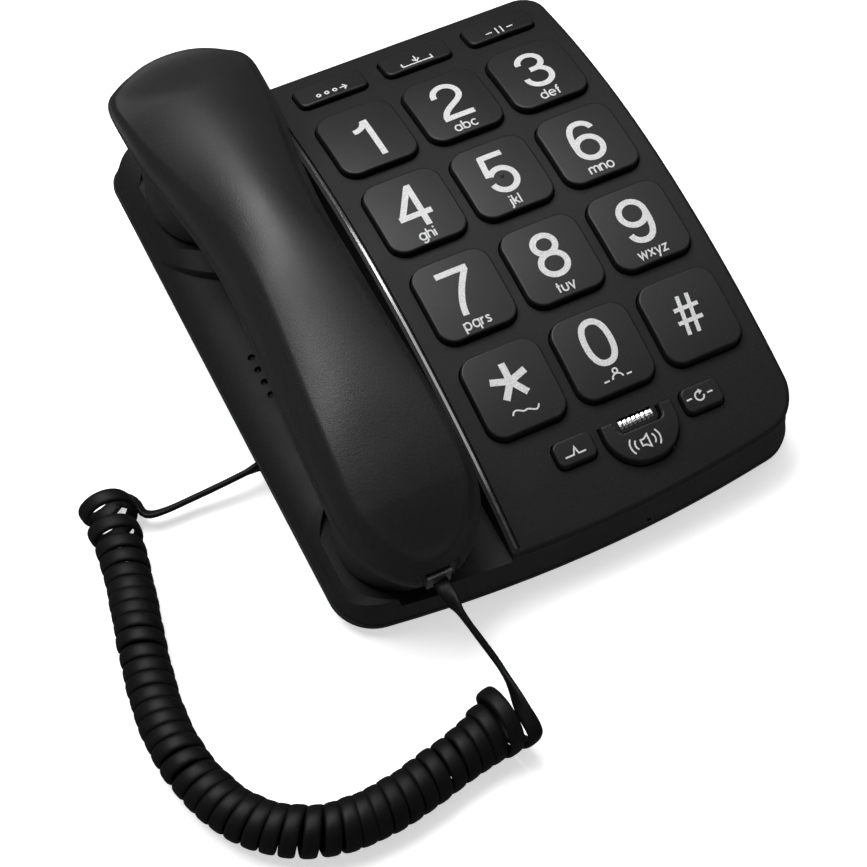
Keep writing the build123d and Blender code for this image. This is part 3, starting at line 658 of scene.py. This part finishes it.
def nose_notch():
    """The notch that the cord's plug sits in, open below at the very tip."""
    low, high = deck_box("handset_socket")
    left, right = low.x - HANDSET_X - 0.4, high.x - HANDSET_X + 0.4
    tip = low.y - 0.8
    pocket = prism([(left, tip - 12), (right, tip - 12), (right, high.y + 0.4), (left, high.y + 0.4)],
                   low.z - 0.3, high.z + 0.3)
    mouth = prism([(left, tip - 12), (right, tip - 12), (right, tip), (left, tip)], low.z - 14, low.z + 1)
    return [pocket, mouth]


def handset_bottom():
    steps = [belly_step(t) for t in (0.0, 0.01, 0.03, 0.07, 0.12, 0.18, 0.25, 0.33, 0.42, 0.6, 0.8, 1.0)]
    rings, columns = handset_rings([lip_step(*place) for place in LIP] + steps)
    # the rings run the other way round here, so that the faces look outward
    piece = shell_piece("handset_underside", [ring[::-1] for ring in rings], columns)
    cut(piece, nose_notch())
    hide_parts("handset_bottom_shell")
    for name, y, sizes, ring, holes in CAPS:
        cap = lathe(name, y, cap_profile(*sizes))
        face = sizes[3]
        spots = [(0.0, 0.0)] + circle(0.0, 0.0, ring, holes)
        cut(cap, [rod(dx, y + dy, face - 2, face + 6, CAP_HOLE_RADIUS) for dx, dy in spots])


# ---------------------------------------------------------------- legends on the keys
def arc(x, y, rx, ry, start, end, power=1.0):
    """Points along an oval's arc, in degrees from its right-hand point, anticlockwise if end > start."""
    points = []
    for angle in np.radians(np.linspace(start, end, 2 + int(abs(end - start) / 9))):
        c, s = math.cos(angle), math.sin(angle)
        points.append((x + rx * math.copysign(abs(c) ** power, c), y + ry * math.copysign(abs(s) ** power, s)))
    return points


def bend(*corners):
    """Points along a smooth curve that starts and ends at the first and last corners."""
    points = [Vector(c) for c in corners]
    result = []
    for t in np.linspace(0.0, 1.0, 14):
        level = points
        while len(level) > 1:
            level = [a.lerp(b, t) for a, b in zip(level, level[1:])]
        result.append(tuple(level[0]))
    return result


def turned(strokes, height):
    """The same strokes turned half round about the middle of their height."""
    return [[(-x, height - y) for x, y in stroke] for stroke in strokes]


# Digits are 16 mm high, on a base line at y = 0, drawn along the middle of their lines.
SIX = [arc(0.0, 5.2, 4.15, 4.1, 0, 360), arc(-4.15, 5.2, 0.01, 0.01, 0, 1) + bend((-4.15, 5.2), (-4.6, 15.0),
       (0.2, 14.9)) + arc(0.2, 11.5, 3.8, 3.4, 84, 8)]
DIGITS = {
    "0": [arc(0.0, 8.0, 4.1, 6.9, 0, 360, 0.86)],
    "1": [[(2.15, 0.0), (2.15, 16.0)], bend((-2.9, 12.2), (0.9, 12.2), (1.6, 15.6))],
    "2": [arc(0.0, 10.9, 4.1, 4.0, 184, -8) + bend((4.0, 9.8), (2.9, 6.2), (-3.9, 5.8), (-4.3, 1.2)),
          [(-5.3, 1.1), (5.1, 1.1)]],
    "3": [arc(0.0, 11.6, 3.8, 3.3, 182, -84) + [(-1.4, 8.35)], arc(0.0, 4.8, 4.2, 3.7, 84, -184)],
    "4": [[(1.9, 0.0), (1.9, 16.0)], [(1.6, 15.2), (-4.7, 5.0)], [(-5.8, 4.7), (5.0, 4.7)]],
    "5": [[(4.0, 14.9), (-3.9, 14.9)], [(-3.2, 15.4), (-4.0, 7.4)], arc(0.1, 5.3, 4.1, 4.2, 148, -168)],
    "6": SIX,
    "7": [[(-5.4, 14.9), (5.1, 14.9)], bend((4.4, 14.6), (0.6, 9.4), (-2.0, 5.0), (-2.2, 0.0))],
    "8": [arc(0.0, 11.7, 3.5, 3.2, 0, 360), arc(0.0, 4.8, 4.15, 3.7, 0, 360)],
    "9": turned(SIX, 16.0),
}
STAR = [[(0.0, 0.0), (6.1 * math.cos(math.radians(a)), 6.1 * math.sin(math.radians(a)))]
        for a in (18, 90, 162, 234, 306)]
HASH = [[(-2.9, -6.3), (-1.0, 6.3)], [(0.3, -6.3), (2.2, 6.3)], [(-4.1, 2.2), (4.2, 2.2)],
        [(-4.6, -2.0), (3.7, -2.0)]]

# Small letters are 2.4 mm high, on a base line at y = 0.
ROUND = arc(1.1, 1.15, 1.0, 1.15, 0, 360)
ARCH = [(0.0, 0.0), (0.0, 2.4)], arc(0.85, 1.4, 0.85, 0.95, 180, 0) + [(1.7, 0.0)]
LETTERS = {
    "a": (2.2, [ROUND, [(2.1, 0.0), (2.1, 2.4)]]),
    "b": (2.2, [ROUND, [(0.1, 0.0), (0.1, 3.5)]]),
    "c": (1.9, [arc(1.1, 1.15, 1.0, 1.15, 45, 315)]),
    "d": (2.2, [ROUND, [(2.1, 0.0), (2.1, 3.5)]]),
    "e": (2.1, [[(0.1, 1.2), (2.1, 1.2)] + arc(1.1, 1.15, 1.0, 1.15, 4, 315)]),
    "f": (1.2, [[(0.5, 0.0), (0.5, 2.7)] + arc(1.1, 2.7, 0.6, 0.8, 180, 80), [(0.0, 2.2), (1.1, 2.2)]]),
    "g": (2.2, [ROUND, [(2.1, 2.4), (2.1, -0.2)] + arc(1.2, -0.2, 0.9, 0.9, 0, -140)]),
    "h": (1.7, [[(0.0, 0.0), (0.0, 3.5)], ARCH[1]]),
    "i": (0.3, [[(0.1, 0.0), (0.1, 2.3)], [(0.1, 2.95), (0.1, 3.5)]]),
    "j": (0.5, [[(0.3, 2.3), (0.3, -0.5), (-0.2, -1.0)], [(0.3, 2.95), (0.3, 3.5)]]),
    "k": (1.5, [[(0.0, 0.0), (0.0, 3.5)], [(1.4, 2.3), (0.1, 1.1)], [(0.5, 1.4), (1.5, 0.0)]]),
    "l": (0.2, [[(0.1, 0.0), (0.1, 3.5)]]),
    "m": (3.0, [[(0.0, 0.0), (0.0, 2.4)], arc(0.75, 1.5, 0.75, 0.85, 180, 0) + [(1.5, 0.0)],
                arc(2.25, 1.5, 0.75, 0.85, 180, 0) + [(3.0, 0.0)]]),
    "n": (1.7, list(ARCH)),
    "o": (2.2, [ROUND]),
    "p": (2.2, [ROUND, [(0.1, -1.1), (0.1, 2.4)]]),
    "q": (2.2, [ROUND, [(2.1, -1.1), (2.1, 2.4)]]),
    "r": (1.0, [[(0.0, 0.0), (0.0, 2.4)], bend((0.0, 1.2), (0.2, 2.2), (1.0, 2.2))]),
    "s": (1.4, [bend((1.35, 1.9), (0.7, 2.6), (-0.4, 2.0), (0.7, 1.2))
                + bend((0.7, 1.2), (2.0, 0.6), (0.9, -0.3), (0.0, 0.4))]),
    "t": (1.1, [[(0.5, 0.0), (0.5, 3.3)], [(0.0, 2.2), (1.1, 2.2)]]),
    "u": (1.8, [[(0.0, 2.4), (0.0, 0.9)] + arc(0.85, 0.9, 0.85, 0.85, 180, 360) + [(1.7, 2.4)]]),
    "v": (1.8, [[(0.0, 2.4), (0.9, 0.0), (1.8, 2.4)]]),
    "w": (2.8, [[(0.0, 2.4), (0.7, 0.0), (1.4, 2.2), (2.1, 0.0), (2.8, 2.4)]]),
    "x": (1.7, [[(0.0, 2.4), (1.7, 0.0)], [(1.7, 2.4), (0.0, 0.0)]]),
    "y": (1.8, [[(0.0, 2.4), (0.9, 0.1)], [(1.8, 2.4), (0.5, -1.1)]]),
    "z": (1.5, [[(0.0, 2.2), (1.5, 2.2), (0.0, 0.15), (1.6, 0.15)]]),
}
# widths of the printed lines
DIGIT_PEN = 1.95
STAR_PEN = 2.15
HASH_PEN = 1.3
LETTER_PEN = 0.52
LETTER_GAP = 0.62
# Each number key's own mark, the height of its base line on the key, and the letters below it.
MARKS = {"1": (-9.6, ""), "2": (-6.7, "abc"), "3": (-6.8, "def"), "4": (-7.1, "ghi"), "5": (-6.9, "jkl"),
         "6": (-7.3, "mno"), "7": (-6.9, "pqrs"), "8": (-6.7, "tuv"), "9": (-6.9, "wxyz"), "0": (-5.4, "")}
LETTERS_Y = -11.5
MARK_X = -0.45
STAR_Y = 1.7
HASH_Y = 0.1
# Plain signs for what the other keys do, each about the middle of its key.
PERSON = [arc(0.0, 1.3, 0.75, 0.75, 0, 360), arc(0.0, -1.1, 1.7, 1.5, 0, 180)]
WAVE = [bend((-4.4, -0.3), (-3.0, 2.6), (-1.5, -0.6), (0.0, 0.0))
        + bend((0.0, 0.0), (1.5, 0.6), (3.0, -2.6), (4.4, 0.3))]
DOTS = [arc(x, 0.0, 0.6, 0.6, 0, 360) for x in (-4.4, -1.6, 1.2)]
SIGNS = {
    "key_star": ((0.0, -8.0), WAVE),
    "key_0": ((0.1, -8.7), PERSON + [[(-4.6, -1.0), (-2.9, -1.0)], [(2.9, -1.0), (4.6, -1.0)]]),
    "key_auto": ((-0.6, -1.9), DOTS + [[(2.9, 0.0), (5.2, 0.0)], [(4.2, 1.2), (5.3, 0.0), (4.2, -1.2)]]),
    "key_store": ((-0.6, -1.7), [[(-5.2, 0.2), (-5.2, -1.5), (5.2, -1.5), (5.2, 0.2)], [(0.0, 2.0), (0.0, -0.6)],
                                 [(-1.2, 0.4), (0.0, -0.7), (1.2, 0.4)]]),
    "key_hold": ((-0.6, -2.0), [[(-0.9, -1.6), (-0.9, 1.6)], [(0.9, -1.6), (0.9, 1.6)], [(-4.8, 0.0), (-2.6, 0.0)],
                                [(2.6, 0.0), (4.8, 0.0)]]),
    "key_flash": ((-0.5, -0.7), [[(-3.4, -0.9), (-0.6, -0.9), (0.4, 1.3), (1.0, -0.9), (3.4, -0.9)]]),
    "key_redial": ((-0.9, 0.0), [arc(0.0, 0.0, 1.4, 1.4, 60, 360), [(0.2, 1.9), (0.9, 1.2), (0.1, 0.6)],
                                 [(-4.4, 0.0), (-2.6, 0.0)], [(2.6, 0.0), (4.4, 0.0)]]),
    "key_speaker": ((-0.9, -2.0), [[(-1.6, 0.9), (-0.5, 0.9), (0.9, 1.9), (0.9, -1.9), (-0.5, -0.9), (-1.6, -0.9),
                                    (-1.6, 0.9)],
                                   arc(1.0, 0.0, 2.0, 2.0, -45, 45), arc(1.0, 0.0, 3.6, 3.6, -40, 40),
                                   arc(-1.7, 0.0, 2.0, 2.0, 135, 225), arc(-1.7, 0.0, 3.6, 3.6, 140, 220)]),
}
INK_PROUD = 0.00005
INK_DEPTH = 0.00012


class Face:
    """The crowned top of a key: turns millimetres across it into a point on it."""

    def __init__(self, node):
        mesh = NODES[node].data
        self.tree = BVHTree.FromPolygons([v.co for v in mesh.vertices], [tuple(f.vertices) for f in mesh.polygons])
        low, high = deck_box(node)
        top = deck((low.x + high.x) / 2, (low.y + high.y) / 2, high.z + 5)
        self.middle, normal = self.tree.ray_cast(top, -LIFT)[:2]
        self.right = Vector((1.0, 0.0, 0.0))
        self.normal = (normal - self.right * normal.x).normalized()
        self.back = self.normal.cross(self.right)

    def point(self, x, y, rise=0.0):
        above = self.middle + (self.right * x + self.back * y) * MM + self.normal * 0.004
        hit = self.tree.ray_cast(above, -self.normal)[0]
        return hit + self.normal * rise


def ribbon(face, stroke, pen):
    """A printed line along a stroke: corner points of its top and of its underside."""
    fine = [Vector(stroke[0])]
    for a, b in zip(stroke, stroke[1:]):
        a, b = Vector(a), Vector(b)
        steps = max(1, int((b - a).length / 1.0))
        fine += [a.lerp(b, (i + 1) / steps) for i in range(steps) if (b - a).length > 0.02]
    closed = (fine[0] - fine[-1]).length < 0.01 and len(fine) > 4
    points = []
    count = len(fine)
    for i, here in enumerate(fine):
        before = fine[i - 1] if i else (fine[-2] if closed else None)
        after = fine[i + 1] if i + 1 < count else (fine[1] if closed else None)
        into = (here - before).normalized() if before else (after - here).normalized()
        out = (after - here).normalized() if after else into
        across = Vector((-(into + out).y, (into + out).x)).normalized()
        reach = pen / 2 / max(across.dot(Vector((-into.y, into.x))), 0.45)
        left, right = here + across * reach, here - across * reach
        points += [face.point(*left, INK_PROUD), face.point(*right, INK_PROUD),
                   face.point(*right, -INK_DEPTH), face.point(*left, -INK_DEPTH)]
    faces = strip_faces(count, 4, True)
    if not closed:
        faces += [(0, 1, 2, 3), tuple(range(4 * count - 4, 4 * count))]
    return points, faces


def print_on(key, strokes):
    """One piece of ink on a key, from (stroke, pen) pairs."""
    face = Face(key)
    points, faces = [], []
    for stroke, pen in strokes:
        more_points, more_faces = ribbon(face, stroke, pen)
        faces += [tuple(i + len(points) for i in f) for f in more_faces]
        points += more_points
    piece = mesh_piece("legend_" + key[4:], points, faces, "ink", key)
    for polygon in piece.data.polygons:
        polygon.use_smooth = False


def moved(strokes, x, y):
    return [[(a + x, b + y) for a, b in stroke] for stroke in strokes]


def word(letters, x, y):
    """Strokes of a few small letters, centred at x on the base line y."""
    width = sum(LETTERS[c][0] for c in letters) + LETTER_GAP * (len(letters) - 1)
    at = x - width / 2
    strokes = []
    for c in letters:
        strokes += moved(LETTERS[c][1], at, y)
        at += LETTERS[c][0] + LETTER_GAP
    return strokes


def legends():
    """The number keys' marks and letters, and the other keys' signs."""
    for digit, (base_line, letters) in MARKS.items():
        strokes = [(s, DIGIT_PEN) for s in moved(DIGITS[digit], MARK_X, base_line)]
        strokes += [(s, LETTER_PEN) for s in word(letters, MARK_X - 0.3, LETTERS_Y)]
        if digit == "0":
            (x, y), sign = SIGNS["key_0"]
            strokes += [(s, LETTER_PEN) for s in moved(sign, x, y)]
        print_on("key_" + digit, strokes)
    (x, y), sign = SIGNS["key_star"]
    print_on("key_star", [(s, STAR_PEN) for s in moved(STAR, MARK_X, STAR_Y)]
             + [(s, LETTER_PEN) for s in moved(sign, x, y)])
    print_on("key_hash", [(s, HASH_PEN) for s in moved(HASH, MARK_X, HASH_Y)])
    for key, ((x, y), sign) in SIGNS.items():
        if key not in ("key_0", "key_star"):
            print_on(key, [(s, LETTER_PEN) for s in moved(sign, x, y)])


def nib():
    """Small raised dot on the middle key, to find it by touch."""
    face = Face("key_5")
    profile = [(0.62, -0.1), (0.6, 0.08), (0.45, 0.26), (0.2, 0.36), (0.02, 0.38)]
    count = 20
    points = [face.point(x, y, height * MM) for radius, height in profile
              for x, y in circle(MARK_X, -0.55, radius, count)]
    faces = strip_faces(len(profile), count, True) + [tuple(range(count))[::-1]]
    mesh_piece("key_5_nib", points, faces, "key_plastic", "key_5")


# ---------------------------------------------------------------- lamp's lens
def lens():
    """Ribbed lens of the in-use lamp: a rim, and facets across it like a row of little roofs."""
    low, high = deck_box("lamp_window")
    rise, rim, ribs = high.z - 0.75, 0.35, 7
    rim_top, rib_top, foot = rise + 0.55, rise + 0.42, rise - 5.0
    xs = [low.x, low.x, low.x + rim, low.x + rim]
    zs = [foot, rim_top, rim_top, rise]
    pitch = (high.x - low.x - 2 * rim) / ribs
    for i in range(ribs):
        start = low.x + rim + i * pitch
        xs += [start + pitch * 0.5, start + pitch]
        zs += [rib_top, rise]
    xs += [high.x - rim, high.x, high.x]
    zs += [rim_top, rim_top, foot]
    ys = np.linspace(low.y, high.y, 5)
    droop = [-0.5, 0.0, 0.06, 0.0, -0.5]
    points = [deck(x, y, z + d) for y, d in zip(ys, droop) for x, z in zip(xs, zs)]
    count = len(xs)
    faces = strip_faces(len(ys), count, True)
    faces += [tuple(range(count)), tuple(range(count * 4, count * 5))]
    piece = mesh_piece("lamp_lens", points, faces, "clear_lens", "base")
    for polygon in piece.data.polygons:
        polygon.use_smooth = False
    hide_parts("lamp_window")


# ---------------------------------------------------------------- making
make_camera()
make_studio()
dress_cad_nodes()
make_cord()
handset_top()
handset_bottom()
legends()
nib()
lens()
